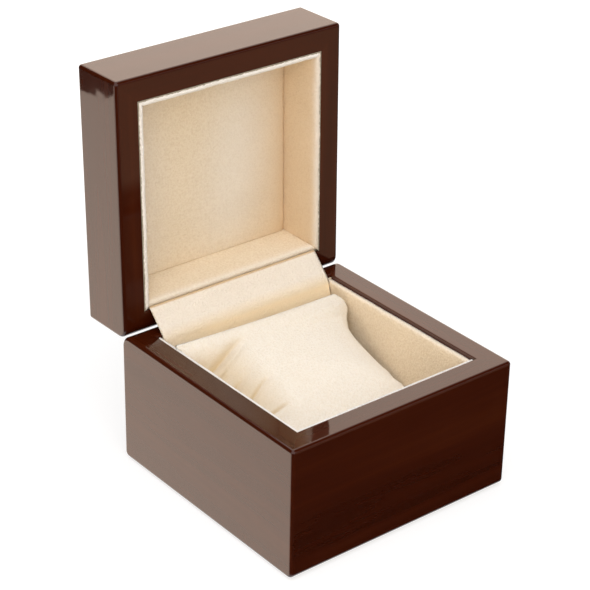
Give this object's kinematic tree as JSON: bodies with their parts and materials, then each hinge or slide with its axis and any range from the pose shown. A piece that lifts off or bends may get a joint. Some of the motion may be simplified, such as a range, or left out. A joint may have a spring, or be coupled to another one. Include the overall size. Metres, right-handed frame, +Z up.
{
  "type": "watch display box",
  "caption": "Square lacquered wooden box with a hinged lid, pale suede lining, padded lid panel, hinge flap and a lift-out watch cushion.",
  "frame": {"origin": "centre of the underside of the felt pad that the box stands on", "axes": "+Z up; +X to the box's right seen from its front; +Y from the front to the hinge; modelled with the lid open"},
  "size_m": [0.11, 0.1356, 0.1655],
  "materials": {
    "lacquered_wood": "high gloss dark red-brown lacquer",
    "lining_suede": "matt cream microfibre suede",
    "pillow_suede": "matt pale cream microfibre suede",
    "card": "grey board",
    "foam": "soft foam and wadding",
    "felt": "dark brown felt",
    "brass": "satin brass"
  },
  "bodies": {
    "base": {"base_back_lining": "lining_suede", "base_back_wall": "lacquered_wood", "base_bottom_board": "lacquered_wood", "base_felt_pad": "felt", "base_floor_card": "card", "base_floor_suede": "lining_suede", "base_front_lining_card": "card", "base_front_lining_suede": "lining_suede", "base_front_wall": "lacquered_wood", "base_left_lining_card": "card", "base_left_lining_suede": "lining_suede", "base_left_wall": "lacquered_wood", "base_right_lining_card": "card", "base_right_lining_suede": "lining_suede", "base_right_wall": "lacquered_wood", "hinge_base_leaf": "brass", "hinge_base_screws": "brass", "hinge_pin": "brass"},
    "lid": {"hinge_lid_leaf": "brass", "hinge_lid_screws": "brass", "lid_back_lining_card": "card", "lid_back_lining_suede": "lining_suede", "lid_back_wall": "lacquered_wood", "lid_front_lining_card": "card", "lid_front_lining_suede": "lining_suede", "lid_front_wall": "lacquered_wood", "lid_left_lining_card": "card", "lid_left_lining_suede": "lining_suede", "lid_left_wall": "lacquered_wood", "lid_panel_board": "card", "lid_panel_foam": "foam", "lid_panel_suede": "lining_suede", "lid_right_lining_card": "card", "lid_right_lining_suede": "lining_suede", "lid_right_wall": "lacquered_wood", "lid_top_board": "lacquered_wood"},
    "flap": {"flap_card": "card", "flap_suede": "lining_suede"},
    "cushion": {"pillow_cover": "pillow_suede", "pillow_filling": "foam"}
  },
  "joints": [
    {"name": "lid_hinge", "type": "hinge", "parent": "base", "child": "lid", "pos_m": [0, 0.05265, 0.0579], "axis": [1, 0, 0], "range_deg": [0, 91]},
    {"name": "flap_fold", "type": "hinge", "parent": "lid", "child": "flap", "pos_m": [0, 0.05286, 0.06643], "axis": [1, 0, 0], "range_deg": [-91, 0]},
    {"name": "cushion_lift", "type": "slide", "parent": "base", "child": "cushion", "axis": [0, 0, 1], "range_m": [0, 0.09]}
  ],
  "couplings": [
    {"joint": "flap_fold", "follows": "lid_hinge", "ratio": -1}
  ]
}
